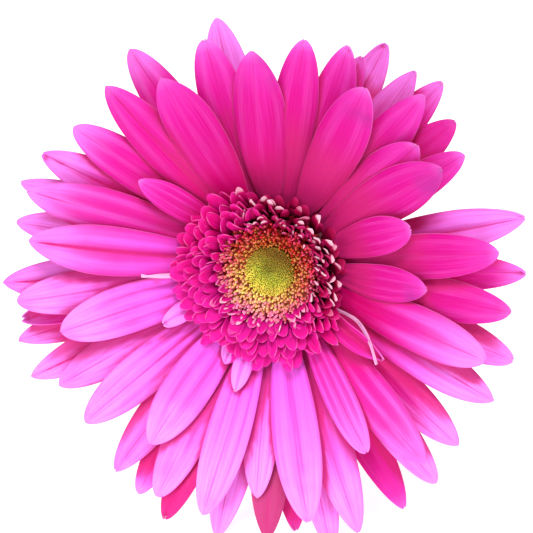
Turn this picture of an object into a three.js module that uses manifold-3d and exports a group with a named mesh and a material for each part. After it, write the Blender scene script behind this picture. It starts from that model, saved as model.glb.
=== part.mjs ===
// A cut gerbera laid on a table. Millimetres, +Z up.
// The flower faces -Y and looks a little upwards. It rests on its lowest petals and on the end of
// its stem, which runs back along +Y and lies along the table.
// The head is modelled in its own frame, with +Z along the flower's axis and the rim of the
// receptacle near z = 0, and is then tilted into place.

import * as THREE from 'three';
import { mergeVertices } from 'three/addons/utils/BufferGeometryUtils.js';
import Module from 'manifold-3d';

const wasm = await Module();
wasm.setup();

// The head
const faceElevation = 12; // degrees that the flower's face looks up
const restHeight = 57.9; // head centre above the table
const seatGap = 0.35; // between a floret and the receptacle

// The receptacle, which is the top of the stem
const receptacleRadius = 12.5;
const receptacleTop = 1;
const receptacleSides = 24;
const receptacleRim = -5.3; // where the straight wall ends and the cup begins
const neckDepth = -18.5; // where the cup has narrowed to the stem
const neckRadius = 2.9;

// The stem
const stemEndRadius = 3.7;
const stemSides = 12;
const stemSteps = 28;
const cutSlant = 32; // degrees off square
const stemRoute = [
  // from below the cup to the cut end, from the head's centre: across, back, up
  [0, 13, -2.8],
  [0, 24, -5.1],
  [-1, 55, -12.8],
  [-5, 95, -24],
  [-11, 135, -36.2],
  [-17, 175, -47.2],
  [-21, 210, -53],
  [-23, 245, stemEndRadius - restHeight],
];

// Ray petals
const petalThickness = 0.5;
const petalBaseDepth = -4.2; // height of the claw of a petal at level 0
const petalLevelStep = 1.1; // claws rise this much from one level to the next
const petalBaseSlope = 16; // degrees above the head's plane, at level 0
const petalLevelSlope = 3.6; // more degrees for each level
const petalDroop = 14; // degrees lost from claw to tip
const petalArch = 13; // radius of the arch across a petal
const clawWidth = 2.6;
const petalWidest = 0.6; // of the petal's length
const tipCrowding = 1.35; // above 1, the rows of points draw together towards the tip
// around the head in degrees, reach from the axis, width, level from the back (0) to the front (4)
const petals = [
  [104, 54, 9.5, 0.8],
  [107, 50.5, 10, 2],
  [95, 47, 11.5, 3],
  [83, 50, 9.5, 2.1],
  [73, 51, 9.5, 1.4],
  [65, 45.5, 11, 3.45],
  [57.5, 52.5, 8.5, 0.7],
  [51, 54, 8.5, 0],
  [53, 50.5, 9.5, 2.1],
  [43, 51, 9, 1.15],
  [45, 42.5, 10.5, 2.95],
  [35.5, 48.5, 8.3, 1.8],
  [36, 44, 11, 3.8],
  [17.5, 55, 9, 1.2],
  [23, 32.5, 8.5, 4.7],
  [11.5, 49, 10, 2.8],
  [4, 53.5, 8.5, 0.2],
  [1, 33.5, 8, 4],
  [-3.5, 51, 9, 2],
  [-14.5, 54, 9, 1.1],
  [-15.5, 48.5, 10, 3.2],
  [-24.5, 53.5, 9.5, 2],
  [-38, 53.5, 9.5, 1.2],
  [-48.5, 57, 9, 0.4],
  [-45, 50.5, 9.5, 3],
  [-56, 42, 7, 3.8],
  [-66.5, 57.5, 9.5, 2],
  [-77, 52.5, 10.5, 3],
  [-74.5, 62.2, 8.5, 0.4],
  [-87, 58, 9, 1.3],
  [-90, 48.5, 8, 2.2],
  [-98.5, 60.5, 9, 0.4],
  [-101, 53, 9.5, 3],
  [-109.5, 59.5, 8.5, 1.2],
  [-113, 54.5, 9.5, 2.1],
  [-124.5, 56.5, 9, 0.85],
  [-120.5, 44, 10.5, 3.55],
  [-137.5, 51.5, 10, 2.2],
  [-147, 53, 9.5, 1.3],
  [-151.5, 59, 9, 0.3],
  [-161, 45.5, 11, 3.2],
  [-169.5, 54, 10, 2.2],
  [-173.5, 57.5, 10, 1.2],
  [175.5, 50, 11, 3.2],
  [173.5, 56, 9, 0.3],
  [164, 53, 10.5, 2.4],
  [156, 53.5, 10, 1.3],
  [145.5, 50.5, 10, 2.05],
  [131.5, 51, 10, 3],
  [124.5, 54.5, 9.5, 1.2],
  [118.5, 46, 11, 3.9],
  [147, 33, 6.5, 3.9],
];

// Rows of short petals around the eye: count, radius at the foot, lean off the head's plane at the
// foot and at the tip in degrees, length, width
const transRows = {
  outer_trans_florets: [30, 11.9, 62, 40, 9.6, 2.5],
  middle_trans_florets: [28, 11.05, 74, 58, 9.4, 2.3],
  inner_trans_florets: [26, 10.2, 84, 74, 8.4, 2.1],
};
const transThickness = 0.4;
const transBandHeight = 1.4;

// Open disc florets and the eye
const discRadii = [6.6, 9.7];
const discFlorets = 26;
const discHeight = 4;
const discTubeRadii = [0.75, 0.55]; // at the mouth and at the foot
const discBandHeight = 1.6;
const discBandSlope = 0.3;
const eyeRadius = 6.2;
const eyeHeight = 2.6;

// Green bracts around the cup: how many, how wide, and the line that the upper side of each
// follows, as radius and height
const bractRows = {
  inner_bracts: {
    count: 16,
    width: 2.9,
    route: [
      [7.5, -13.1],
      [10.75, -9.85],
      [12.9, -7.5],
      [14.5, -6.6],
      [16.8, -6.1],
    ],
  },
  outer_bracts: {
    count: 16,
    width: 2.7,
    route: [
      [4.75, -16],
      [6.2, -15.1],
      [8.3, -13.8],
      [11.5, -10.5],
      [13.4, -8.7],
    ],
  },
};
const bractBand = 0.1; // of a bract's length, joined to its neighbours
const bractThickness = 0.5;

const rad = THREE.MathUtils.degToRad;

function material(color, roughness) {
  return new THREE.MeshStandardMaterial({ color, roughness, metalness: 0, side: THREE.DoubleSide });
}

const petalMaterial = material(0xea3f9c, 0.55);
const transMaterial = material(0xc02a72, 0.5);
const discMaterial = material(0xe08a6a, 0.6);
const eyeMaterial = material(0x9a8030, 0.7);
const bractMaterial = material(0x6f8f3c, 0.6);
const stemMaterial = material(0x7f9f45, 0.6);

function named(name, geometry, finish) {
  const mesh = new THREE.Mesh(geometry, finish);
  mesh.name = name;
  return mesh;
}

function solidOf(geometry) {
  const bare = geometry.clone();
  bare.deleteAttribute('normal');
  bare.deleteAttribute('uv');
  const merged = mergeVertices(bare, 1e-4);
  return new wasm.Manifold(
    new wasm.Mesh({
      numProp: 3,
      vertProperties: merged.attributes.position.array,
      triVerts: new Uint32Array(merged.index.array),
    }),
  );
}

function geometryOf(solid) {
  const mesh = solid.getMesh();
  const geometry = new THREE.BufferGeometry();
  geometry.setAttribute('position', new THREE.BufferAttribute(mesh.vertProperties, 3));
  geometry.setIndex(new THREE.BufferAttribute(mesh.triVerts, 1));
  return geometry;
}

/** A box bent into a thin leaf: place(along, across, above) says where each of its points goes. */
function blade(rows, columns, place) {
  const geometry = new THREE.BoxGeometry(2, 1, 1, columns, rows, 1);
  const points = geometry.attributes.position;
  for (let i = 0; i < points.count; i += 1) {
    const point = place(points.getY(i) + 0.5, points.getX(i), points.getZ(i) + 0.5);
    points.setXYZ(i, point.x, point.y, point.z);
  }
  return geometry;
}

/** A line in the plane of the axis whose slope turns evenly from one angle to another. */
function arcLine(radius, height, firstSlope, lastSlope, length) {
  const turn = lastSlope - firstSlope;
  return (along) => {
    const slope = firstSlope + turn * along;
    return {
      radius: radius + (length / turn) * (Math.sin(slope) - Math.sin(firstSlope)),
      height: height - (length / turn) * (Math.cos(slope) - Math.cos(firstSlope)),
      slope,
    };
  };
}

/** A point of a leaf on such a line: off to the side, and above the line at right angles to it. */
function onLine(line, side, above) {
  return new THREE.Vector3(
    line.radius - Math.sin(line.slope) * above,
    -side,
    line.height + Math.cos(line.slope) * above,
  );
}

/** Opens quickly from the claw, is widest past the middle and closes in an ellipse at the tip. */
function petalHalfWidth(along, width) {
  const opening = Math.sin((Math.PI / 2) * Math.min(1, along / petalWidest)) ** 0.8;
  const closing = Math.max(0, along - petalWidest) / (1.01 - petalWidest);
  return ((clawWidth + (width - clawWidth) * opening) / 2) * Math.sqrt(1 - closing ** 2.2);
}

function rayPetal([around, reach, width, level]) {
  const firstSlope = rad(petalBaseSlope + petalLevelSlope * level);
  const lastSlope = firstSlope - rad(petalDroop);
  const foot = receptacleRadius + seatGap;
  const rise = Math.sin(firstSlope) - Math.sin(lastSlope);
  const length = ((reach - foot) * rad(petalDroop)) / rise;
  const line = arcLine(foot, petalBaseDepth + petalLevelStep * level, firstSlope, lastSlope, length);
  const geometry = blade(8, 2, (row, across, above) => {
    const along = 1 - (1 - row) ** tipCrowding;
    const side = across * petalHalfWidth(along, width);
    return onLine(line(along), side, (above - 1) * petalThickness - side ** 2 / (2 * petalArch));
  });
  return geometry.rotateZ(rad(around));
}

/** A row of short petals that stand on a low band. */
function transRow([count, foot, footLean, tipLean, length, width]) {
  const seat = receptacleTop + seatGap;
  const line = arcLine(foot, seat, rad(footLean), rad(tipLean), length);
  const floret = blade(3, 1, (along, across, above) => {
    const taper = 0.62 + 0.38 * Math.sin(0.8 * Math.PI * along) - 0.35 * along ** 3;
    return onLine(line(along), (across * width * taper) / 2, (above - 1) * transThickness);
  });
  const outside = foot + transThickness;
  const bandTop = seat + transBandHeight;
  const bandLean = transBandHeight / Math.tan(rad(footLean));
  const band = turned(
    [
      [foot, seat],
      [outside, seat],
      [outside + bandLean, bandTop],
      [foot + bandLean, bandTop],
      [foot, seat],
    ],
    count,
  );
  return ringOf(floret, count, solidOf(band));
}

/** Joins copies of one leaf, turned about the axis, to the ring that carries them. */
function ringOf(leaf, count, ring) {
  let whole = ring;
  for (let i = 0; i < count; i += 1) {
    whole = whole.add(solidOf(leaf.clone().rotateZ((i / count) * 2 * Math.PI)));
  }
  return geometryOf(whole);
}

/** A turned shape about the head's axis, from points given as radius and height. */
function turned(profile, segments) {
  const points = profile.map(([radius, height]) => new THREE.Vector2(radius, height));
  return new THREE.LatheGeometry(points, segments).rotateX(Math.PI / 2);
}

function discFloretRing() {
  const [inner, outer] = discRadii;
  const foot = receptacleTop + seatGap;
  const middle = (inner + outer) / 2;
  const tube = new THREE.CylinderGeometry(...discTubeRadii, discHeight, 6);
  tube.rotateX(Math.PI / 2).translate(middle, 0, foot + discHeight / 2);
  const bandTop = foot + discBandHeight;
  const band = turned(
    [
      [inner, foot],
      [outer, foot],
      [outer - discBandSlope, bandTop],
      [inner + discBandSlope, bandTop],
      [inner, foot],
    ],
    discFlorets,
  );
  return ringOf(tube, discFlorets, solidOf(band));
}

function eyeDome() {
  const foot = receptacleTop + seatGap;
  const profile = [
    [0, foot],
    [eyeRadius, foot],
    [eyeRadius, foot + eyeHeight * 0.45],
    [eyeRadius * 0.8, foot + eyeHeight * 0.85],
    [eyeRadius * 0.45, foot + eyeHeight],
    [eyeRadius * 0.2, foot + eyeHeight * 0.85],
    [0, foot + eyeHeight * 0.75],
  ];
  return turned(profile, receptacleSides);
}

/** The cup's outside, from the neck up to the foot of the straight wall. */
const cupLine = new THREE.CatmullRomCurve3([
  new THREE.Vector3(neckRadius, 0, neckDepth),
  new THREE.Vector3(4.4, 0, -15.6),
  new THREE.Vector3(7.2, 0, -12.7),
  new THREE.Vector3(10.4, 0, -9.4),
  new THREE.Vector3(12.1, 0, -7.2),
  new THREE.Vector3(receptacleRadius, 0, receptacleRim),
]);

function receptacle() {
  const outside = cupLine.getPoints(9).map((point) => [point.x, point.z]);
  const profile = [
    [0, neckDepth],
    ...outside,
    [receptacleRadius, receptacleTop],
    [0, receptacleTop],
  ];
  return turned(profile, receptacleSides);
}

/** A row of bracts that hug the cup and turn out under the petals. */
function bractRow({ count, width, route }) {
  const curve = new THREE.CatmullRomCurve3(
    route.map(([radius, height]) => new THREE.Vector3(radius, 0, height)),
  );
  const line = (along) => {
    const point = curve.getPoint(along);
    const tangent = curve.getTangent(along);
    return { radius: point.x, height: point.z, slope: Math.atan2(tangent.z, tangent.x) };
  };
  const leaf = blade(4, 1, (along, across, above) => {
    const halfWidth = (width / 2) * (along < 0.5 ? 0.75 + 0.5 * along : 1.9 * (1.02 - along));
    return onLine(line(along), across * halfWidth, (above - 1) * bractThickness);
  });
  const corner = (along, above) => {
    const point = onLine(line(along), 0, above);
    return [point.x, point.z];
  };
  const band = turned(
    [
      corner(0, 0),
      corner(0, -bractThickness),
      corner(bractBand, -bractThickness),
      corner(bractBand, 0),
      corner(0, 0),
    ],
    count * 2,
  );
  return ringOf(leaf, count, solidOf(band));
}

/** The stem's tube, which thickens evenly from the neck to its cut end. */
function stemTube() {
  const route = new THREE.CatmullRomCurve3(
    stemRoute.map(([across, back, up]) => new THREE.Vector3(across, back, up)),
  );
  const section = new THREE.Shape();
  section.absarc(0, 0, neckRadius, 0, 2 * Math.PI);
  const tube = new THREE.ExtrudeGeometry(section, {
    steps: stemSteps,
    curveSegments: stemSides / 2,
    extrudePath: route,
  });
  const centres = route.getSpacedPoints(stemSteps);
  const points = tube.attributes.position;
  const point = new THREE.Vector3();
  for (let i = 0; i < points.count; i += 1) {
    point.fromBufferAttribute(points, i);
    const gaps = centres.map((centre) => centre.distanceTo(point));
    const step = gaps.indexOf(Math.min(...gaps));
    const swell = 1 + (stemEndRadius / neckRadius - 1) * (step / stemSteps);
    point.sub(centres[step]).multiplyScalar(swell).add(centres[step]);
    points.setXYZ(i, point.x, point.y, point.z);
  }
  return { tube, route };
}

/** A block that takes the stem's end off on the slant, so that its lower side is the longer. */
function slantCut(route) {
  const side = 8 * stemEndRadius;
  const block = new THREE.BoxGeometry(side, side, side).translate(0, side / 2, 0);
  const end = route.getPoint(1);
  return block.rotateX(rad(cutSlant)).translate(end.x, end.y - stemEndRadius, end.z);
}

function stem(headTilt) {
  const { tube, route } = stemTube();
  const cup = receptacle().applyMatrix4(headTilt);
  return geometryOf(solidOf(tube).add(solidOf(cup)).subtract(solidOf(slantCut(route))));
}

function flowerHead() {
  const head = new THREE.Group();
  petals.forEach((petal, i) => {
    const name = `ray_petal_${String(i + 1).padStart(2, '0')}`;
    head.add(named(name, rayPetal(petal), petalMaterial.clone()));
  });
  for (const [name, row] of Object.entries(transRows)) {
    head.add(named(name, transRow(row), transMaterial.clone()));
  }
  for (const [name, row] of Object.entries(bractRows)) {
    head.add(named(name, bractRow(row), bractMaterial.clone()));
  }
  head.add(named('disc_florets', discFloretRing(), discMaterial));
  head.add(named('eye', eyeDome(), eyeMaterial));
  return head;
}

const head = flowerHead();
head.rotation.x = rad(90 - faceElevation);
head.updateMatrix();

const gerbera = new THREE.Group();
gerbera.name = 'gerbera';
gerbera.add(head, named('stem', stem(head.matrix), stemMaterial));

// The origin is under the middle of the whole flower, on the table.
gerbera.updateMatrixWorld(true);
const box = new THREE.Box3().setFromObject(gerbera, true);
const middle = box.getCenter(new THREE.Vector3());
gerbera.position.set(-middle.x, -middle.y, -box.min.z);

export default gerbera;
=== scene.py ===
# A cut gerbera, lying on a pale table. The scene is in metres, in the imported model's frame;
# lengths in the flower's own dictionaries are in mm.
import random
from math import atan2, cos, degrees, exp, pi, radians, sin, sqrt

import bmesh
import bpy
import numpy as np
from mathutils import Matrix, Vector, noise
from mathutils.bvhtree import BVHTree


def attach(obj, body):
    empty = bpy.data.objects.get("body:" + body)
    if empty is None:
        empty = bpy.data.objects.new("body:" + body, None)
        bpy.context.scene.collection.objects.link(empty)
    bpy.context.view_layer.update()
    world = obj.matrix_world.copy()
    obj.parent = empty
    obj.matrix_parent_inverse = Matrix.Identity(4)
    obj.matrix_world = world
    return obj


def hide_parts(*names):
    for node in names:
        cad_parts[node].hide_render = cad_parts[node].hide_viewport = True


mm = 0.001
goldenAngle = radians(137.508)
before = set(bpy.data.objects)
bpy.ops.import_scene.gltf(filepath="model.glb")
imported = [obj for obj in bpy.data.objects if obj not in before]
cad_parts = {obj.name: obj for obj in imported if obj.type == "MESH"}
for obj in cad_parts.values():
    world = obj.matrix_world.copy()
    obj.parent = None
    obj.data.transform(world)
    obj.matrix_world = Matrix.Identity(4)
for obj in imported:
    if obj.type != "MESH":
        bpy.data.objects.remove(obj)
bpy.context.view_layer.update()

# Where the head is.

head = {
    "faceElevation": 12.0,  # degrees that the face looks up
    "seat": 1.35,  # mm from the head's centre to the foot of the eye, along its axis
}


def findHead():
    # the head's axes and centre, read off the eye, which is turned about the axis
    tilt = radians(head["faceElevation"])
    axes = (
        Vector((1, 0, 0)),
        Vector((0, sin(tilt), cos(tilt))),
        Vector((0, -cos(tilt), sin(tilt))),
    )
    points = [v.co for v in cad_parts["eye"].data.vertices]
    low = [min(p.dot(a) for p in points) for a in axes]
    high = [max(p.dot(a) for p in points) for a in axes]
    place = Matrix(axes).transposed().to_4x4()
    place.translation = (
        axes[0] * (low[0] + high[0]) / 2
        + axes[1] * (low[1] + high[1]) / 2
        + axes[2] * (low[2] - head["seat"] * mm)
    )
    return place


toWorld = findHead()
toHead = toWorld.inverted()
headAxis = toWorld.to_3x3() @ Vector((0, 0, 1))

# Shader nodes.


def feed(tree, socket, value):
    # a socket takes a link or a fixed value
    if isinstance(value, bpy.types.NodeSocket):
        tree.links.new(value, socket)
    else:
        socket.default_value = value


class Nodes:
    # one node tree, the colour laid down in it so far and short ways to add to both
    def __init__(self, tree):
        self.tree = tree
        self.base = None

    def add(self, kind, values=None, **settings):
        made = self.tree.nodes.new("ShaderNode" + kind)
        for name, value in settings.items():
            setattr(made, name, value)
        for name, value in (values or {}).items():
            feed(self.tree, made.inputs[name], value)
        return made.outputs

    def math(self, operation, *values):
        return self.add("Math", dict(enumerate(values)), operation=operation)[0]

    def times(self, product, *factors):
        for factor in factors:
            product = self.math("MULTIPLY", product, factor)
        return product

    def plus(self, a, b):
        return self.math("ADD", a, b)

    def mix(self, factor, a, b):
        colours = [(*c, 1) if isinstance(c, tuple) else c for c in (a, b)]
        return self.add("Mix", {0: factor, 6: colours[0], 7: colours[1]}, data_type="RGBA")[2]

    def range(self, value, fromLow, fromHigh, toLow=0.0, toHigh=1.0, smooth=True):
        values = {0: value, 1: fromLow, 2: fromHigh, 3: toLow, 4: toHigh}
        return self.add("MapRange", values, interpolation_type="SMOOTHSTEP" if smooth else "LINEAR")[0]

    def ramp(self, factor, stops):
        colour = self.add("ValToRGB", {0: factor})[0]
        elements = colour.node.color_ramp.elements
        while len(elements) < len(stops):
            elements.new(0.5)
        for element, (place, shade) in zip(elements, stops):
            element.position = place
            element.color = (*shade, 1)
        return colour

    def attributes(self, *names):
        return [self.add("Attribute", attribute_name=name)["Fac"] for name in names]

    def noise(self, place, scale, detail):
        return self.add("TexNoise", {"Vector": place, "Scale": scale, "Detail": detail})[0]

    def group(self, group, *values):
        return list(self.add("Group", dict(enumerate(values)), node_tree=group))

    def coat(self, factor, colour):
        self.base = self.mix(factor, self.base, colour)

    def finish(self, roughness, height, strength, distance):
        # colour, roughness and a bump go to the shader
        sockets = self.tree.nodes["Principled BSDF"].inputs
        bump = self.add("Bump", {"Strength": strength, "Distance": distance, "Height": height})[0]
        for name, value in (("Base Color", self.base), ("Roughness", roughness), ("Normal", bump)):
            feed(self.tree, sockets[name], value)


def newMaterial(name, scatter, shine, **fixed):
    # scatter is how much of the light goes into it, and how deep in metres;
    # other values are named like the shader's sockets, with underscores for spaces
    made = bpy.data.materials.new(name)
    made.use_nodes = True
    sockets = made.node_tree.nodes["Principled BSDF"].inputs
    fixed |= {"Subsurface_Weight": scatter[0], "Subsurface_Scale": scatter[1], "Specular_IOR_Level": shine}
    for socket, value in fixed.items():
        sockets[socket.replace("_", " ")].default_value = value
    return made, Nodes(made.node_tree)


def newGroup(name, inputs, outputs):
    tree = bpy.data.node_groups.new(name, "ShaderNodeTree")
    for label, value in inputs.items():
        socket = tree.interface.new_socket(label, in_out="INPUT", socket_type="NodeSocketFloat")
        socket.default_value = value
    for label in outputs:
        tree.interface.new_socket(label, in_out="OUTPUT", socket_type="NodeSocketFloat")
    return Nodes(tree), tree.nodes.new("NodeGroupInput").outputs, tree.nodes.new("NodeGroupOutput").inputs


# Effects that several materials share.


def makeVeinGroup():
    # lengthwise veins and streaks on a leaf whose UV runs across and along it
    outputs = ("Vein", "Streak", "Edge", "Along")
    nodes, given, wanted = newGroup("lengthwiseVeins", {"Lines": 7.0, "Wander": 0.06, "Seed": 0.0}, outputs)
    across, along = nodes.add("SeparateXYZ", {0: nodes.add("UVMap", uv_map="petalUV")[0]})[:2]

    def streaks(wide, long, scale, detail):
        # noise that is squeezed across the leaf
        place = {0: nodes.times(across, wide), 1: nodes.times(along, long), 2: given["Seed"]}
        return nodes.noise(nodes.add("CombineXYZ", place)[0], scale, detail)

    drift = streaks(3.0, 1.2, 1.6, 1.0)
    wandered = nodes.plus(across, nodes.times(nodes.math("SUBTRACT", drift, 0.5), given["Wander"]))
    phase = nodes.times(wandered, nodes.times(given["Lines"], 2 * pi))
    wave = nodes.math("MULTIPLY_ADD", nodes.math("COSINE", phase), 0.5, 0.5)
    edge = nodes.math("ABSOLUTE", nodes.math("MULTIPLY_ADD", across, 2.0, -1.0))
    made = (nodes.math("POWER", wave, 5.0), streaks(46.0, 2.6, 1.0, 3.0), edge, along)
    for name, value in zip(outputs, made):
        feed(nodes.tree, wanted[name], value)
    return nodes.tree


def makeMottleGroup():
    # soft patches and fine grain over Object coordinates
    nodes, given, wanted = newGroup("mottle", {"Patch Size": 150.0, "Grain Size": 1500.0}, ("Patch", "Grain"))
    place = nodes.add("TexCoord")["Object"]
    for i, detail in enumerate((3.0, 4.0)):
        feed(nodes.tree, wanted[i], nodes.noise(place, given[i], detail))
    return nodes.tree


veinGroup = makeVeinGroup()
mottleGroup = makeMottleGroup()

# Leaf-shaped pieces: ray petals, trans florets and bracts all start from the same grid.


def leafGrid(look, names):
    # a flat square of faces, -1 to 1 across and 0 to 1 along, with named number layers
    made = bmesh.new()
    bmesh.ops.create_grid(made, x_segments=look["columns"], y_segments=look["rows"], size=1.0)
    uv = made.loops.layers.uv.new("petalUV")
    for face in made.faces:
        for loop in face.loops:
            loop[uv].uv = ((loop.vert.co.x + 1) / 2, (loop.vert.co.y + 1) / 2)
    for vert in made.verts:
        vert.co.y = (vert.co.y + 1) / 2
    return made, [made.verts.layers.float.new(name) for name in names]


def meshOf(made, name):
    mesh = bpy.data.meshes.new(name)
    made.to_mesh(mesh)
    made.free()
    mesh.polygons.foreach_set("use_smooth", [True] * len(mesh.polygons))
    return mesh


def joinInto(whole, made):
    mesh = bpy.data.meshes.new("part")
    made.to_mesh(mesh)
    made.free()
    whole.from_mesh(mesh)
    bpy.data.meshes.remove(mesh)


def newLot(names):
    # a small bmesh with named number layers; big pieces are gathered from many of them
    made = bmesh.new()
    return made, [made.verts.layers.float.new(name) for name in names]


def inScene(name, data):
    made = bpy.data.objects.new(name, data)
    bpy.context.scene.collection.objects.link(made)
    return made


def newPiece(mesh, materials, stands=()):
    piece = inScene(mesh.name, mesh)
    for material in materials:
        mesh.materials.append(material)
    if stands:
        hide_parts(*stands)
    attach(piece, "root")
    return piece


def thicken(piece, thickness, under=0):
    # under is how many slots further the material of the underside stands
    shell = piece.modifiers.new("thickness", "SOLIDIFY")
    shell.thickness = thickness * mm
    shell.offset = -1
    shell.material_offset = under
    smooth = piece.modifiers.new("smooth", "SUBSURF")
    smooth.render_levels = 1


def smoothStep(x):
    x = min(1.0, max(0.0, x))
    return x * x * (3 - 2 * x)


def facing(angle, where):
    # 1 where an angle on the head is the azimuth given in degrees, -1 opposite it
    return cos(angle - radians(where))


def note(verts, layers, *values):
    # the same numbers for every one of the points
    for vert in verts:
        for layer, value in zip(layers, values):
            vert[layer] = value


def spiral(step, inner, outer):
    # the order in which buds and florets stand on the head: number, radius and angle
    n = int((inner / step) ** 2)
    while step * sqrt(n + 0.5) < outer:
        yield n, step * sqrt(n + 0.5), n * goldenAngle
        n += 1


def liftPoint(turn, radius, aside, height, slope, lift):
    # where a point beside a leaf's line and lifted off it comes to lie in the scene
    r = radius - sin(slope) * lift
    z = height + cos(slope) * lift
    return toWorld @ (turn @ Vector((r * mm, aside * mm, z * mm)))


# Ray petals.

rayLook = {
    "rows": 30,
    "columns": 14,
    "thickness": 0.34,
    "claw": 2.8,  # width at the foot
    "widest": 0.6,  # of the length
    "cadRow": 6,  # points in one row of a packed petal
    "footRadius": 12.85,
    "lowest": -4.2,  # height of the foot at level 0, and what each level adds
    "levelStep": 1.1,
    "rise": 16,  # degrees that the foot slopes up at level 0, and what each level adds
    "levelRise": 3.6,
    "droop": 14,  # degrees that the line bends down on its way to the tip
    # painted light and shade at every 45 degrees around the head: above zero deep, where shade is painted,
    # below zero lilac, where light is painted
    "paintedLightAndShade": (0.82, 0.98, 0.76, 0.55, -0.64, -1.25, -0.92, -0.34),
    "paintedFootShadeAt": 32,  # the azimuth where the feet get the most painted shade
    "paintedFootShade": 1.1,
    "palest": -1.6,
    "threadTone": -2,  # below this a petal is a pale thread, the same from end to end
}

# what is special about single petals, by number; the tone, tip and side values paint light or shade onto them
rayHints = {
    1: {"tone": -0.9},
    3: {"crease": 0.0, "arch": 9, "bruise": 0.6, "rib": 0.02},
    4: {"crease": 0.2, "arch": 10},
    6: {"crease": 0.05, "arch": 9, "bruise": 1.0},
    7: {"tone": -0.3},
    10: {"tone": 1.3, "paintedTipLight": 0.3},
    13: {"crease": 0.05, "arch": 9, "bruise": 0.8},
    14: {"crease": 0.7, "fold": 0.1, "tone": -1.2},
    18: {"crease": 0.1, "bruise": 0.9},
    20: {"tone": -0.6},
    21: {"tone": -0.4},
    22: {"crease": 0.6, "tone": -0.7, "sideShade": 0.42},
    30: {"tone": 2.8, "paintedTipLight": 0.1},
    34: {"teeth": 1.0, "tone": 2.6, "paintedTipLight": 0.5},
    36: {"crease": 0.6, "tone": -1.0},
    39: {"crease": 0.7},
    43: {"crease": 0.8, "fold": 0.08, "tone": -0.9, "sideShade": 0},
    44: {"crease": 1.0, "fold": 0.12},
    46: {"crease": 0.7},
    48: {"crease": 0.5},
    51: {"crease": 0.0, "arch": 9},
    **{number: {"crease": 0.6} for number in (19, 38, 47, 49, 50)},
}


def fittedSpine(around, width, steps, line):
    # the petal's line as curves: radius and height on the head's axis, from foot to tip
    radius, height = (np.polyfit(steps, line[:, i], 3) for i in (0, 1))
    return {"around": around, "width": width, "radius": radius, "height": height}


def spineOf(node):
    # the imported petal's rows of points, from claw to tip, give its crest line and its width
    points = {tuple(round(c, 6) for c in toHead @ v.co) for v in node.data.vertices}
    points = np.array(sorted(points)) / mm
    middle = points.mean(axis=0)
    chord = np.linalg.svd(points - middle)[2][0]
    if chord[:2] @ middle[:2] < 0:
        chord = -chord
    points = points[np.argsort((points - middle) @ chord)]
    rows = points.reshape(-1, rayLook["cadRow"], 3)
    tip = rows[-1].mean(axis=0)
    around = atan2(tip[1], tip[0])
    side = np.array((sin(around), -cos(around), 0.0))
    crest, widths = [], []
    for row in rows:
        offsets = row @ side
        widths.append(offsets.max() - offsets.min())
        inner = row[np.argsort(np.abs(offsets - offsets.mean()))[:2]]
        crest.append(inner[np.argmax(inner[:, 2])])
    crest = np.array(crest)
    steps = np.concatenate(([0.0], np.cumsum(np.linalg.norm(np.diff(crest, axis=0), axis=1))))
    line = np.column_stack((np.hypot(crest[:, 0], crest[:, 1]), crest[:, 2]))
    return fittedSpine(around, max(widths), steps / steps[-1], line)


def arcPoint(foot, first, last, length, t):
    # a line whose slope turns evenly from one angle to the other
    turn = last - first
    slope = first + turn * t
    radius = foot[0] + length / turn * (sin(slope) - sin(first))
    height = foot[1] - length / turn * (cos(slope) - cos(first))
    return radius, height, slope


def petalWidth(t, width, point):
    # opens quickly from the claw, is widest past the middle and closes in a softly pointed tip
    opening = sin(pi / 2 * min(1, t / rayLook["widest"])) ** 0.8
    closing = max(0, t - rayLook["widest"]) / (1 - rayLook["widest"])
    shut = max(0.002, 1 - closing ** 2.1) ** point
    claw = min(rayLook["claw"], width * 0.7)
    return (claw + (width - claw) * opening) / 2 * shut


def bendPetal(made, ridges, spine, shape, seed):
    slopeRadius = np.polyder(spine["radius"])
    slopeHeight = np.polyder(spine["height"])
    turn = Matrix.Rotation(spine["around"], 4, "Z")
    for vert in made.verts:
        u = vert.co.x
        t = 1 - (1 - vert.co.y) ** 1.4  # rows stand closer towards the tip
        half = petalWidth(t, spine["width"], shape["point"])
        # three small teeth at the tip
        toothed = smoothStep((t - 0.93) / 0.07)
        reach = t - toothed * shape["teeth"] * (0.012 + 0.012 * cos(3 * pi * u))
        radius = np.polyval(spine["radius"], reach)
        height = np.polyval(spine["height"], reach)
        slope = atan2(np.polyval(slopeHeight, reach), np.polyval(slopeRadius, reach))
        side = u * half
        body = smoothStep(t / 0.3)
        lift = -side * side / (2 * shape["arch"])
        lift -= shape["crease"] * exp(-((u / 0.14) ** 2)) * body * smoothStep((1.03 - t) / 0.15)
        lift += shape["fold"] * abs(side) * body
        # low ridges run along the petal, with a groove or a ridge down its middle
        strayed = u + 0.09 * noise.noise(Vector((t * 3, 0.5, seed * 1.3)))
        ridge = cos(strayed * pi * shape["ribs"]) * (1 if shape["ribs"] % 2 else -1)
        ridge *= body * (1 - t ** 5)
        vert[ridges] = ridge
        lift += shape["rib"] * ridge
        lift += shape["curl"] * abs(u) ** 3 * smoothStep((t - 0.3) / 0.5)
        lift -= shape["tipDrop"] * (max(0, t - 0.7) / 0.3) ** 2
        lift += shape["wave"] * noise.noise(Vector((t * 2.4, u * 0.8, seed * 3.7))) * smoothStep(t / 0.35)
        sway = shape["sway"] * sin(pi * t) + shape["bow"] * t * t
        lift += side * sin(shape["twist"] * smoothStep(t))
        vert.co = liftPoint(turn, radius, sway - side, height, slope, lift)


petalRanges = {
    # what a petal's shape is drawn from: a range, or a choice where there are more than two
    "point": (0.5, 0.72),
    "teeth": (0, 0, 0.5),
    "arch": (11, 16),
    "crease": (0.1, 0.45),
    "fold": (-0.03, 0.06),
    "rib": (0.04, 0.12),
    "ribs": (2, 2, 3, 3, 4),
    "curl": (-0.4, 0.3),
    "tipDrop": (0.0, 1.0),
    "wave": (0.5, 1.1),
    "sway": (-0.5, 0.5),
    "bow": (-0.4, 0.4),
    "twist": (-0.16, 0.16),
}


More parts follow.
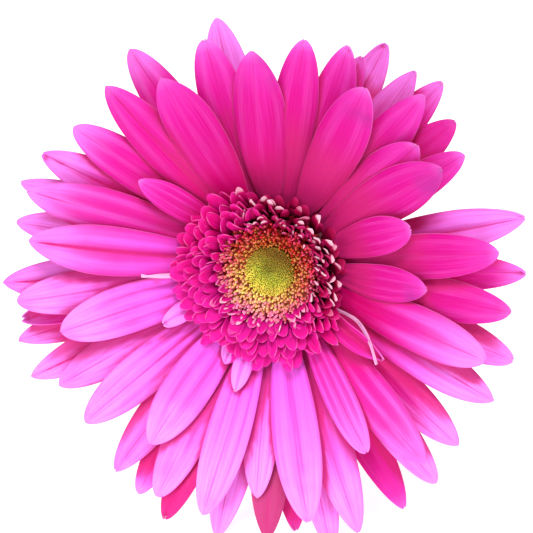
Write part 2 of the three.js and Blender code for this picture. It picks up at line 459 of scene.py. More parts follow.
def petalShape(rng, hint):
    shape = {}
    for key, span in petalRanges.items():
        shape[key] = rng.uniform(*span) if len(span) == 2 else rng.choice(span)
    return shape | hint


def tintPetal(made, layers, spine, hint, rng):
    # the numbers that every point of a petal carries for its material
    tone, mark, shade = layers
    around = spine["around"]
    # painted light and shade by where the petal stands around the head, with a little random tone
    value = np.interp(degrees(around), range(0, 360, 45), rayLook["paintedLightAndShade"], period=360)
    value += rng.uniform(-0.15, 0.15)
    value = hint.get("tone", value)
    # petals that lie low get painted light towards the tip
    level = (np.polyval(spine["height"], 0) - rayLook["lowest"]) / rayLook["levelStep"]
    paintedTipLight = hint.get("paintedTipLight", max(0.3, 1.7 - 0.35 * level))
    # painted shade on the feet, strongest on one side of the head
    paintedFootShade = rayLook["paintedFootShade"] * smoothStep(facing(around, rayLook["paintedFootShadeAt"]) + 0.25)
    # they also get painted shade along the side that faces up, as if cast by the petal above
    upperSide = -cos(around)
    paintedSideShade = 0.3 * smoothStep((3.4 - level) / 2.4) * smoothStep(0.8 - sin(around))
    paintedSideShade = hint.get("sideShade", paintedSideShade)
    for vert in made.verts:
        x, y = vert.co.x, vert.co.y
        window = smoothStep((y - 0.1) / 0.25) * smoothStep((0.93 - y) / 0.25)
        vert[shade] = paintedSideShade * window * smoothStep((x * upperSide + 0.1) / 0.7)
        along = value - paintedTipLight * smoothStep((y - 0.45) / 0.5) + paintedFootShade * (1 - smoothStep(y / 0.6))
        vert[tone] = value if value < rayLook["threadTone"] else max(rayLook["palest"], along)
        vert[mark] = hint.get("bruise", 0) * smoothStep((y - 0.6) / 0.15) * smoothStep((x + 1) / 1.5)


def makeRayPetal(name, spine, hint, seed, stands=()):
    rng = random.Random(seed)
    layerNames = ("petalTone", "petalRidge", "petalBruise", "petalShade")
    made, (tone, ridges, mark, shade) = leafGrid(rayLook, layerNames)
    tintPetal(made, (tone, mark, shade), spine, hint, rng)
    bendPetal(made, ridges, spine, petalShape(rng, hint), seed)
    piece = newPiece(meshOf(made, name), [rayTop, rayUnder], stands)
    thicken(piece, rayLook["thickness"], under=1)
    return piece


def petalMaterial(name, colours):
    made, nodes = newMaterial(name, (0.2, 0.0015), 0.06, Subsurface_Radius=(1.0, 0.2, 0.4),
                              Sheen_Weight=0.01, Sheen_Roughness=0.35, Sheen_Tint=(1.0, 0.75, 1.0, 1))
    tone, ridge, bruise, shade = nodes.attributes("petalTone", "petalRidge", "petalBruise", "petalShade")
    vein, streak, edge, along = nodes.group(veinGroup, colours["lines"], 0.12, tone)
    patch, grain = nodes.group(mottleGroup, 70.0, 2600.0)
    nodes.base = nodes.ramp(along, colours["along"])
    # by their tone, whole petals go deep (painted shade, with their feet deeper still) or towards lilac
    # (painted light), with a little random difference
    inner = nodes.times(nodes.range(along, 0.8, 0.2), nodes.range(tone, -0.3, 0.8, 0, 0.9, False))
    nodes.coat(inner, colours["foot"])
    nodes.coat(nodes.range(tone, 0, 1, 0, 0.5, False), colours["deep"])
    litLilac = nodes.mix(nodes.range(along, 0.15, 0.75), colours["lightFoot"], colours["light"])
    nodes.coat(nodes.range(tone, 0.1, -1.2), litLilac)
    nodes.coat(nodes.range(patch, 0.45, 0.7, 0, 0.35), colours["deep"])
    nodes.coat(nodes.range(streak, 0.4, 0.75, 0, 0.35), colours["streak"])
    # painted highlight on the ridges and painted shade in the grooves, unevenly
    uneven = nodes.times(nodes.range(streak, 0.25, 0.7, 0.5, 1.0), nodes.range(tone, 0.4, -0.3, 0.25, 1))
    nodes.coat(nodes.times(nodes.range(ridge, 0.0, 1.0, 0, 0.42), uneven), litLilac)
    nodes.coat(nodes.times(nodes.range(ridge, -0.1, -1.0, 0, 0.6), uneven), colours["deep"])
    # painted shade: near the foot, under a neighbour and on the deepest-toned petals the colour sinks to
    # crimson
    near = nodes.times(nodes.range(along, 0.44, 0.06), nodes.range(tone, -0.5, 0.3, 0, 0.9))
    nodes.coat(near, colours["near"])
    coveredShade = nodes.times(nodes.range(shade, 0.1, 0.38, 0, 0.85), nodes.range(along, 0.985, 0.93))
    coveredShade = nodes.math("MAXIMUM", coveredShade, nodes.range(tone, 0.9, 1.5, 0, 0.85))
    nodes.coat(coveredShade, colours["shaded"])
    # the deepest-toned petals get a dull painted shade, and threads are nearly white
    nodes.coat(nodes.range(tone, 2.3, 2.8, 0, 0.9), (0.42, 0.05, 0.17))
    nodes.coat(nodes.range(tone, -2.0, -3.0, 0, 1, False), (0.95, 0.62, 0.85))
    fade = nodes.range(along, 0.86, 0.97, 1, 0)
    nodes.coat(nodes.times(vein, fade, colours["veinDepth"]), colours["vein"])
    # the fold down the middle is darker towards the tip
    middle = nodes.times(nodes.range(edge, 0.0, 0.09, 1, 0), nodes.range(along, 0.35, 0.8, 0, 0.5), fade)
    nodes.coat(middle, colours["vein"])
    nodes.coat(nodes.times(bruise, nodes.range(patch, 0.46, 0.64, 0, 0.7)), (0.36, 0.03, 0.26))
    # a painted highlight along the edge and at the tip
    rim = nodes.range(edge, 0.93, 1.0, 0, colours["rimHighlightDepth"])
    tip = nodes.range(along, 0.98, 1.0, 0, colours["rimHighlightDepth"])
    nodes.coat(nodes.math("MAXIMUM", rim, tip), colours["rim"])
    height = nodes.plus(nodes.times(vein, -0.35), nodes.times(streak, 0.7))
    height = nodes.plus(height, nodes.times(grain, 0.1))
    nodes.finish(nodes.range(streak, 0.3, 0.8, 0.4, 0.55), height, 0.4, 0.0003)
    return made


# in both petal materials the foot, near-the-foot and shaded colours are painted shade, the light colours
# painted light, the deep colour serves painted shade in grooves as well as mottle, and the rim colour is a
# painted highlight
rayTop = petalMaterial("rayPetalTop", {
    "lines": 5.0,
    "along": [(0.0, (0.45, 0.001, 0.1)), (0.15, (0.66, 0.005, 0.26)), (0.6, (0.7, 0.011, 0.33)),
              (0.85, (0.78, 0.05, 0.48)), (1.0, (0.9, 0.2, 0.78))],
    "foot": (0.6, 0.0, 0.15),
    "deep": (0.6, 0.003, 0.23),
    "near": (0.62, 0.0, 0.13),
    "shaded": (0.58, 0.02, 0.17),
    "light": (0.93, 0.28, 0.95),
    "lightFoot": (0.93, 0.14, 0.93),
    "streak": (0.85, 0.05, 0.5),
    "vein": (0.6, 0.004, 0.2),
    "veinDepth": 0.14,
    "rim": (0.92, 0.34, 0.75),
    "rimHighlightDepth": 0.25,
})
rayUnder = petalMaterial("rayPetalUnder", {
    "lines": 6.0,
    "along": [(0.0, (0.6, 0.22, 0.26)), (0.3, (0.74, 0.11, 0.34)), (1.0, (0.8, 0.1, 0.4))],
    "foot": (0.66, 0.1, 0.26),
    "deep": (0.72, 0.05, 0.27),
    "near": (0.5, 0.12, 0.15),
    "shaded": (0.6, 0.04, 0.2),
    "light": (0.88, 0.3, 0.58),
    "lightFoot": (0.88, 0.3, 0.58),
    "streak": (0.88, 0.3, 0.58),
    "vein": (0.55, 0.04, 0.2),
    "veinDepth": 0.4,
    "rim": (0.9, 0.4, 0.65),
    "rimHighlightDepth": 0.4,
})


def arcSpine(azimuth, reach, width, level):
    # a petal laid among its neighbours: higher levels start higher and stand up more
    first = radians(rayLook["rise"] + rayLook["levelRise"] * level)
    last = first - radians(rayLook["droop"])
    foot = (rayLook["footRadius"], rayLook["lowest"] + rayLook["levelStep"] * level)
    length = (reach - foot[0]) * (last - first) / (sin(last) - sin(first))
    steps = np.linspace(0, 1, 9)
    line = np.array([arcPoint(foot, first, last, length, t)[:2] for t in steps])
    return fittedSpine(radians(azimuth), width, steps, line)


# petals that lie among the others: azimuth, reach, width, level and what is special in their shape and in the
# light or shade painted on them
tuckedPetals = [
    (70, 49.5, 7, 0.6, {"tone": 1.0, "fold": 0.3}),
    (66.5, 53.4, 8.5, -0.2, {"tone": -1.6}),
    (-58, 58.6, 8.5, -0.4, {"tone": 1.2, "paintedTipLight": 0.7, "sideShade": 0.45}),
    (-81.5, 57.5, 8, 0.2, {"tipDrop": 0, "tone": 2.8}),
    (-117.6, 59.2, 8, 0.2, {"tone": 0.9}),
    (-159.6, 59.4, 8.5, -0.5, {"tone": 0.3}),
    (-164.5, 56, 6.5, 0.3, {"curl": 1.2, "tone": 1.0, "bruise": 1.0}),
    (165.8, 57.2, 8, -0.5, {}),
    (-34, 29.6, 4.4, 4.4, {"fold": 0.9, "arch": 60, "tone": 0.6, "bow": 1.2}),
    (-150, 24.9, 4.5, 4.9, {}),
    (-103, 26.3, 4.5, 4.6, {}),
    (-113, 22, 4, 5, {}),
    # pale threads
    (-174, 26.4, 0.8, 5.2, {"tone": -2.8, "point": 1.0, "bow": -0.5, "sideShade": 0}),
    (-33, 29.3, 0.24, 5.0, {"tone": -2.6, "sway": 3.6, "bow": -0.4}),
    (-39, 20.5, 0.4, 5.2, {"tone": -2.5, "sway": 1, "bow": -1.5}),
]


def makeRayPetals():
    names = sorted(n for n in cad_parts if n.startswith("ray_petal_"))
    made = []
    for i, name in enumerate(names):
        spine = spineOf(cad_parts[name])
        hint = rayHints.get(i + 1, {})
        made.append(makeRayPetal(name.replace("ray_petal", "petal"), spine, hint, 100 + i, [name]))
    for i, (azimuth, reach, width, level, hint) in enumerate(tuckedPetals):
        spine = arcSpine(azimuth, reach, width, level)
        made.append(makeRayPetal("petal_tucked_%02d" % (i + 1), spine, hint, 200 + i))
    return made


rayPetals = makeRayPetals()
print("ray petals:", len(rayPetals))

# Trans florets.

transLook = {
    "rows": 8,
    "columns": 4,
    "thickness": 0.28,
    "foot": 1.5,  # mm above the head's centre
    "uprightAt": 38,  # the azimuth where they stand upright
    "tipLightAt": 45,  # and where their tips get the most painted light
    "paintedLightFrom": 68,  # opposite this one they turn towards lilac, a painted light
    # how many, foot radius, lean, lean where upright, length, width, painted tip light, painted tip light
    # where upright
    "rings": {
        "outer_trans_florets": [
            (42, 12.3, 18, 30, 6.5, 4.4, 0.0, -0.5),
            (31, 12.2, 25, 66, 9.0, 3.5, 0.0, 0.65),
            (32, 12.1, 33, 76, 8.7, 3.4, 0.0, 0.85),
            (33, 11.9, 41, 80, 8.3, 3.3, 0.0, 0.2),
        ],
        "middle_trans_florets": [
            (33, 11.6, 48, 82, 8.0, 3.2, 0.1, 0.1),
            (32, 11.3, 55, 84, 7.8, 3.0, 0.1, 0.7),
            (32, 11.0, 61, 85, 7.5, 2.9, 0.1, 0.0),
        ],
        "inner_trans_florets": [
            (31, 10.6, 67, 87, 7.2, 2.6, 0.2, 0.1),
            (30, 10.2, 73, 89, 6.8, 2.2, 0.35, 0.95),
            (30, 9.8, 79, 91, 6.0, 1.6, 0.6, 0.4),
        ],
    },
}


def floretWidth(t, width, point):
    body = 0.45 + 0.55 * smoothStep(t / 0.6)
    return width / 2 * body * max(0.01, 1 - max(0.0, (t - 0.6) / 0.4) ** 2.2) ** point


def addTransRing(whole, ring, rng):
    count, foot, lyingLean, uprightLean, length, width, lyingTipLight, uprightTipLight = ring
    for i in range(count):
        made, layers = leafGrid(transLook, ("petalTone", "tipHighlight"))
        around = 2 * pi * (i + rng.uniform(-0.5, 0.5)) / count + foot
        upright = smoothStep((facing(around, transLook["uprightAt"]) + 0.3) / 1.1)
        below = smoothStep(-sin(around) * 1.3)
        calm = 1 - 0.4 * upright  # the upright ones stray less
        lean = lyingLean + (uprightLean - lyingLean) * upright + rng.uniform(-8, 8) * calm
        footLean = radians(lean + 20 - 18 * upright)
        tipLean = radians(lean - 26 + 30 * upright + rng.uniform(-13, 13) * calm)
        long = length * rng.uniform(0.82, 1.17) * (1.06 - (0.1 if lyingLean > 20 else 0.55) * upright)
        wide = width * rng.uniform(0.72, 1.12) * (1.1 - 0.4 * upright)
        cup = rng.uniform(0.0, 0.7) * (1 - upright)
        twist = rng.uniform(-1.1, 1.1)
        hook = (0.3 + 1.3 * upright) * rng.uniform(0.6, 1.2)
        bow = rng.uniform(-0.7, 0.7)
        point = rng.uniform(0.28, 0.55)
        # painted light at the tips: more on the lower side and near the azimuth of the most tip light
        pale = lyingTipLight * (0.3 + 0.9 * below)
        above = smoothStep((facing(around, transLook["tipLightAt"]) - 0.15) / 0.4)
        pale += (uprightTipLight - pale) * above + rng.uniform(-0.2, 0.2)
        # tone: painted shade where they stand upright, painted light on the far side
        value = upright ** 2 - 0.6 * smoothStep(-facing(around, transLook["paintedLightFrom"]) * 1.3)
        value += rng.uniform(-0.22, 0.22)
        start = foot + rng.uniform(-0.3, 0.3)
        turn = Matrix.Rotation(around, 4, "Z")
        for vert in made.verts:
            u, t = vert.co.x, 1 - (1 - vert.co.y) ** 1.3
            radius, height, slope = arcPoint((start, transLook["foot"]), footLean, tipLean, long, t)
            side = u * floretWidth(t, wide, point)
            lift = cup * u * u * smoothStep(t / 0.6) - hook * smoothStep((t - 0.68) / 0.4)
            lift += side * sin(twist * t)
            lift += 0.6 * noise.noise(Vector((t * 2, u * 0.9, i * 3.1 + foot))) * smoothStep(t / 0.5)
            vert.co = liftPoint(turn, radius, bow * t * t - side, height, slope, lift)
        note(made.verts, layers, value, pale)
        joinInto(whole, made)


def transMaterial():
    made, nodes = newMaterial("transFloret", (0.15, 0.001), 0.05, Subsurface_Radius=(1.0, 0.2, 0.4))
    tone, pale = nodes.attributes("petalTone", "tipHighlight")
    streak, edge, along = nodes.group(veinGroup, 2.0, 0.1, tone)[1:]
    # painted shade: the upright florets take a shaded copy of the colour, the lying ones a lit copy
    shaded = nodes.ramp(along, [(0.0, (0.08, 0.0, 0.01)), (0.5, (0.2, 0.0, 0.03)),
                                (0.8, (0.38, 0.001, 0.06)), (1.0, (0.62, 0.02, 0.18))])
    paintedLitColour = nodes.ramp(along, [(0.0, (0.15, 0.0, 0.03)), (0.45, (0.4, 0.0, 0.09)),
                                (0.8, (0.66, 0.002, 0.17)), (1.0, (0.82, 0.025, 0.33))])
    nodes.base = nodes.mix(nodes.range(tone, 0.2, 0.85), paintedLitColour, shaded)
    streaks = nodes.times(nodes.range(streak, 0.42, 0.7, 0, 0.45), nodes.range(tone, 0.6, 0.1))
    nodes.coat(streaks, (0.84, 0.012, 0.36))
    # painted light: those on the lower left turn towards lilac
    nodes.coat(nodes.range(tone, 0.0, -0.6, 0, 0.3), (0.88, 0.03, 0.55))
    # painted highlight along the rim near the tip
    rim = nodes.times(nodes.range(edge, 0.84, 1.0, 0, 0.42), nodes.range(along, 0.65, 0.9),
                      nodes.range(tone, 0.5, 0.1, 0.2, 1.0))
    nodes.coat(rim, (0.9, 0.3, 0.56))
    # painted highlight: pale tips
    paintedTipLight = nodes.times(nodes.range(along, 0.78, 0.87), nodes.range(pale, 0.3, 0.8))
    nodes.coat(paintedTipLight, (0.93, 0.52, 0.64))
    nodes.finish(0.5, streak, 0.4, 0.0002)
    return made


transFinish = transMaterial()


def makeTransFlorets():
    rng = random.Random(21)
    for node, rings in transLook["rings"].items():
        whole = bmesh.new()
        for ring in rings:
            addTransRing(whole, ring, rng)
        mesh = meshOf(whole, node.replace("_trans", "Trans").replace("_florets", "Florets"))
        piece = newPiece(mesh, [transFinish], [node])
        thicken(piece, transLook["thickness"])


makeTransFlorets()
print("trans florets done")

# Disc florets and the eye.

discLook = {
    "eyeRadius": 5.2,
    "outerRadius": 9.8,
    "budStep": 0.2,  # sets how close the buds stand
    "floretStep": 0.27,
    "shut": 0.55,  # this far out every floret is still a bud, and beyond it most are
    "foot": 1.45,
    "redShadeAt": 70,  # the azimuth where painted shade makes the florets reddest
    "eyeShadeAt": 67,  # and where painted shade makes the eye's buds brownest
    "bedRadius": 12.35,
}


def eyeSurface(r):
    # height of the eye's surface above the head's centre: a low dome with a dimple
    share = r / discLook["eyeRadius"]
    return discLook["foot"] + 2.0 + 0.5 * cos(share * pi / 2) - 0.8 * exp(-((r / 1.2) ** 2))


def headPlace(r, angle, height, lean, rng, wobble):
    # stands a piece at a radius and azimuth on the head, leaning outwards
    place = Matrix.Rotation(angle, 4, "Z") @ Matrix.Translation(Vector((r, 0, height)) * mm)
    place = place @ Matrix.Rotation(lean + rng.uniform(-wobble, wobble), 4, "Y")
    return toWorld @ place @ Matrix.Rotation(rng.uniform(-wobble, wobble), 4, "X")


def makeEye():
    rng = random.Random(5)
    names = ("budPlace", "budShade")
    whole, layers = newLot(names)
    # the body that the buds stand on, turned about the head's axis
    eyeRadius = discLook["eyeRadius"]
    start = whole.verts.new(toWorld @ (Vector((0.02, 0, discLook["foot"])) * mm))
    radii = [eyeRadius * share for share in (1, 0.85, 0.7, 0.5, 0.3, 0.15, 0.004)]
    profile = [(eyeRadius, discLook["foot"])] + [(r, eyeSurface(r) - 0.15) for r in radii]
    verts = [start] + [whole.verts.new(toWorld @ (Vector((r, 0, z)) * mm)) for r, z in profile]
    edges = [whole.edges.new((a, b)) for a, b in zip(verts, verts[1:])]
    bmesh.ops.spin(whole, geom=verts + edges, cent=toWorld.translation, axis=headAxis,
                   angle=2 * pi, steps=32, use_merge=True)
    bmesh.ops.remove_doubles(whole, verts=whole.verts, dist=0.00003)
    bmesh.ops.recalc_face_normals(whole, faces=whole.faces)
    note(whole.verts, layers, 0.2, 0.5)
    lot, layers = newLot(names)
    for n, r, angle in spiral(discLook["budStep"], 0, eyeRadius):
        if n % 60 == 59:
            joinInto(whole, lot)
            lot, layers = newLot(names)
        r += rng.uniform(-0.08, 0.08)
        angle += rng.uniform(-0.1, 0.1) / max(0.5, r)
        share = r / eyeRadius
        size = 0.15 + 0.03 * share + rng.uniform(-0.02, 0.04)
        tall = 1.6 + 1.1 * share + rng.uniform(-0.4, 0.6)
        place = headPlace(r, angle, eyeSurface(r) + rng.uniform(-0.05, 0.16), share * 0.25, rng, 0.3)
        bud = bmesh.ops.create_uvsphere(lot, u_segments=5, v_segments=4, radius=size * mm,
                                        matrix=place @ Matrix.Diagonal((1, 1, tall, 1)))["verts"]
        # painted shade: towards one side the buds are darker and browner
        shadeSide = facing(angle, discLook["eyeShadeAt"])
        value = share * (1 - 0.4 * shadeSide) + rng.uniform(-0.14, 0.14)
        shadeAmount = 0.15 + 0.75 * shadeSide * sqrt(share) + 0.35 * share * share
        shadeAmount += rng.uniform(-0.12, 0.12)
        note(bud, layers, value, shadeAmount)
    joinInto(whole, lot)
    newPiece(meshOf(whole, "eyeBuds"), [eyeFinish], ["eye"])
    return n + 1


def eyeMaterial():
    made, nodes = newMaterial("eyeBud", (0.2, 0.001), 0.35)
    place, paintedEyeShade = nodes.attributes("budPlace", "budShade")
    patch, grain = nodes.group(mottleGroup, 420.0, 2600.0)
    nodes.base = nodes.ramp(place, [(0.0, (0.26, 0.24, 0.02)), (0.3, (0.56, 0.6, 0.05)),
                                    (0.7, (0.78, 0.78, 0.08)), (1.0, (0.92, 0.74, 0.11))])
    nodes.coat(nodes.range(patch, 0.4, 0.65, 0, 0.35), (0.34, 0.36, 0.02))
    nodes.coat(nodes.range(grain, 0.5, 0.7, 0, 0.4), (0.25, 0.2, 0.01))
    # painted shade towards one side of the eye
    nodes.coat(nodes.range(paintedEyeShade, 0.0, 1.0, 0, 1, False), (0.27, 0.13, 0.01))
    nodes.finish(0.6, grain, 0.4, 0.0001)
    return made


eyeFinish = eyeMaterial()
print("buds:", makeEye())


def extruded(made, edges):
    # the new verts and edges of a rim that is drawn on
    new = bmesh.ops.extrude_edge_only(made, edges=edges)["geom"]
    verts = [g for g in new if isinstance(g, bmesh.types.BMVert)]
    return verts, [g for g in new if isinstance(g, bmesh.types.BMEdge)]


def addDiscFloret(whole, layers, value, size, tall, opening, place):
    # a tube whose mouth opens in five small lobes, with a style standing in it
    made = list(bmesh.ops.create_circle(whole, cap_ends=False, radius=size * 0.5 * mm, segments=10)["verts"])
    edges = list({e for v in made for e in v.link_edges})
    for share, height in ((0.62, 0.7), (1.0, 1.0)):
        rim, edges = extruded(whole, edges)
        for vert in rim:
            angle = atan2(vert.co.y, vert.co.x)
            lobe = (0.5 + 0.5 * cos(angle * 5)) * (height > 0.9)
            spread = size * (share * (0.8 + opening * lobe) if height > 0.9 else share)
            top = tall * (height + 0.14 * lobe * (1 - opening))
            vert.co = Vector((cos(angle) * spread, sin(angle) * spread, top)) * mm
        made += rim
    style = bmesh.ops.create_cone(whole, cap_ends=True, segments=5, radius1=size * 0.3 * mm,
                                  radius2=size * 0.2 * mm, depth=tall * 0.6 * mm)["verts"]
    bmesh.ops.translate(whole, verts=style, vec=(0, 0, tall * 0.86 * mm))
    for vert in made + style:
        vert[layers[0]] = value[0] - (0.4 if vert in style else 0)
        vert[layers[1]] = vert.co.z / (tall * mm)
        vert[layers[2]] = value[1]
    bmesh.ops.transform(whole, matrix=place, verts=made + style)


def discMaterial():
    made, nodes = newMaterial("discFloret", (0.4, 0.001), 0.12)
    place, high, redShade = nodes.attributes("budPlace", "budHeight", "budShade")
    patch, grain = nodes.group(mottleGroup, 500.0, 2400.0)
    shifted = nodes.plus(place, nodes.range(patch, 0.3, 0.7, -0.15, 0.15, False))
    # painted light and shade: a lit gold copy and a shaded crimson copy, mixed by side
    litGold = nodes.ramp(shifted, [(0.0, (0.92, 0.78, 0.1)), (0.3, (1.0, 0.76, 0.2)), (0.5, (1.0, 0.56, 0.3)),
                                (0.75, (1.0, 0.26, 0.4)), (1.0, (1.0, 0.26, 0.56))])
    shadedCrimson = nodes.ramp(shifted, [(0.0, (0.46, 0.1, 0.01)), (0.25, (0.56, 0.03, 0.01)),
                                   (0.6, (0.68, 0.012, 0.03)), (1.0, (0.98, 0.04, 0.17))])
    nodes.base = nodes.mix(redShade, litGold, shadedCrimson)
    # painted highlight on the buds' tops, less on the shaded side
    cappedHighlight = nodes.times(nodes.range(high, 0.92, 1.15, 0, 0.45), nodes.range(redShade, 1, 0.2, 0.15, 1))
    nodes.coat(cappedHighlight, (1.0, 0.62, 0.48))
    # painted shade low down between the florets, in a lit and a shaded copy
    depth = nodes.mix(redShade, (1.0, 0.45, 0.2), (0.75, 0.01, 0.03))
    nodes.coat(nodes.range(high, 0.0, 0.55, 1, 0), depth)
    nodes.finish(0.5, grain, 0.3, 0.0001)
    return made


discFinish = discMaterial()


def makeDiscFlorets():
    rng = random.Random(11)
    names = ["budPlace", "budHeight", "budShade"]
    whole = newLot(names)[0]
    lot, layers = newLot(names)
    inner, outer = discLook["eyeRadius"] - 0.1, discLook["outerRadius"]
    count = 0
    for n, r, angle in spiral(discLook["floretStep"], inner, outer):
        if n % 40 == 39:
            joinInto(whole, lot)
            lot, layers = newLot(names)
        r += rng.uniform(-0.1, 0.1)
        angle += rng.uniform(-0.02, 0.02)
        share = (r - inner) / (outer - inner)
        # painted shade: florets towards one side turn red
        towardsRedShade = 0.5 + 0.5 * facing(angle, discLook["redShadeAt"])
        redShade = min(1, max(0, towardsRedShade ** 0.6 + rng.uniform(-0.2, 0.2)))
        value = share + rng.uniform(-0.28, 0.28) - 0.1 * sin(angle)
        tall = 2.6 + 1.5 * share + 0.7 * share * share + rng.uniform(-0.3, 0.5)
        place = headPlace(r, angle, discLook["foot"] + 0.1, radians(4 + 10 * share), rng, 0.15)
        if share < discLook["shut"] or rng.random() < 0.85:
            # a plump bud
            size = rng.uniform(0.22, 0.3) + 0.07 * share
            bud = bmesh.ops.create_uvsphere(lot, u_segments=6, v_segments=5, radius=size * mm)["verts"]
            for vert in bud:
                vert[layers[0]] = value
                vert[layers[1]] = 0.75 + 0.35 * vert.co.z / (size * mm)
                vert[layers[2]] = redShade
            stretch = Matrix.Translation((0, 0, (tall - 0.8) * mm)) @ Matrix.Diagonal((1, 1, 2.4, 1))
            bmesh.ops.transform(lot, matrix=place @ stretch, verts=bud)
        else:
            opening = 0.3 + 0.5 * share
            addDiscFloret(lot, layers, (value, redShade), rng.uniform(0.24, 0.36), tall, opening, place)
        count += 1
    joinInto(whole, lot)
    # the bed that they stand in
    radius = discLook["bedRadius"] * mm
    bed = bmesh.ops.create_circle(whole, cap_ends=True, radius=radius, segments=48)["verts"]
    # the bed under painted shade turns red towards the same side
    bedRedShade = whole.verts.layers.float["budShade"]
    for vert in bed:
        towardsRedShade = 0.5 + 0.5 * facing(atan2(vert.co.y, vert.co.x), discLook["redShadeAt"])
        vert[bedRedShade] = 0.3 + 0.7 * towardsRedShade
    raised = Matrix.Translation((0, 0, (discLook["foot"] + 0.05) * mm))
    bmesh.ops.transform(whole, matrix=toWorld @ raised, verts=bed)
    newPiece(meshOf(whole, "discFlorets"), [discFinish], ["disc_florets"])
    return count


print("disc florets:", makeDiscFlorets())


shadeLook = {
    "reach": 10,  # how far away a neighbour still counts
    "rings": ((14, 8), (30, 8), (54, 5)),  # elevation of the rays and how many
    "fromAbove": 0.9,  # how much more of the light comes from above
}


def shadePetals():
    # every point of a petal learns how much its neighbours stand over it; the material paints this as shade
    reach = shadeLook["reach"] * mm
    whole = bmesh.new()
    for piece in rayPetals:
        whole.from_mesh(piece.data)
    tree = BVHTree.FromBMesh(whole)
    whole.free()
    rays = []
    for height, count in shadeLook["rings"]:
        for i in range(count):
            angle = 2 * pi * (i + 0.5) / count
            flat = cos(radians(height))
            ray = Vector((flat * cos(angle), flat * sin(angle), sin(radians(height))))
            rays.append((toWorld.to_3x3() @ ray, 1 + shadeLook["fromAbove"] * sin(angle)))
    total = sum(weight for ray, weight in rays)
    for piece in rayPetals:
        shade = []
        for vert in piece.data.vertices:
            start = vert.co + vert.normal * 0.25 * mm
            hits = ((tree.ray_cast(start, ray, reach)[3], weight) for ray, weight in rays)
            hidden = sum(weight * (1 - (hit / reach) ** 2) for hit, weight in hits if hit is not None)
            shade.append(hidden / total)
        layer = piece.data.attributes["petalShade"].data
        layer.foreach_set("value", [a + b.value for a, b in zip(shade, layer)])


shadePetals()
print("petals shaded")

# Stem, cup and bracts.

stemLook = {
    # the stem's line from the head's centre, in mm: right, back, up
    "route": [(0, 13, -2.8), (0, 24, -5.1), (-1, 55, -12.8), (-5, 95, -24), (-11, 135, -36.2),
              (-17, 175, -47.2), (-21, 210, -53), (-23, 245, -54.2)],
    "neck": 2.9,
    "end": 3.7,
    "slant": 32,  # degrees that the cut is off square
    # the cup's outline: radius and height on the head's axis
    "cup": [(3.1, -17.6), (4.4, -15.6), (7.2, -12.7), (10.4, -9.4), (12.1, -7.2), (12.5, -5.3),
            (12.3, -2), (11.6, 0.9)],
    "cupFrom": -19,  # height on the head's axis where the stem gives way to the cup
    "redFrom": -4,  # and where the cup turns crimson
    "sides": 28,
    "ribs": (7, 0.025),  # how many, and how much of the radius they stand out
    "hairs": 1500,
    "bare": (3, 10),  # rings without hairs at the cut end and on the cup
    "lowestHair": 1.2,  # none are where the stem lies on the table
}


def smoothLine(points, pieces):
    # a soft line through the points
    line = []
    points = [Vector(p) for p in points]
    ends = [points[0] * 2 - points[1]] + points + [points[-1] * 2 - points[-2]]
    for a, b, c, d in zip(ends, ends[1:], ends[2:], ends[3:]):
        for i in range(pieces):
            t = i / pieces
            line.append((b * 2 + (c - a) * t + (a * 2 - b * 5 + c * 4 - d) * t * t
                         + (b * 3 - a - c * 3 + d) * t ** 3) / 2)
    line.append(points[-1])
    return line


def ringPlace(centre, axis, radius):
    along = axis.normalized()
    across = (Vector((1, 0, 0)) - along * along.x).normalized()
    place = Matrix((across * radius, along.cross(across) * radius, along * radius)).transposed().to_4x4()
    place.translation = centre
    return place


def stemRings():
    # from beyond the cut end up to the neck, then out over the cup
    centre = toWorld.translation
    line = [centre + p * mm for p in smoothLine(stemLook["route"], 7)][::-1]
    line.insert(0, line[0] * 2 - line[1])
    rings = []
    for i, point in enumerate(line[:-1]):
        if (toHead @ point).z > stemLook["cupFrom"] * mm:
            break
        share = 1 - i / len(line)
        radius = stemLook["neck"] + (stemLook["end"] - stemLook["neck"]) * share
        rings.append(ringPlace(point, line[i + 1] - line[max(0, i - 1)], radius * mm))
    for p in smoothLine([(r, 0, z) for r, z in stemLook["cup"]], 3):
        rings.append(ringPlace(toWorld @ Vector((0, 0, p.z * mm)), headAxis, p.x * mm))
    return rings


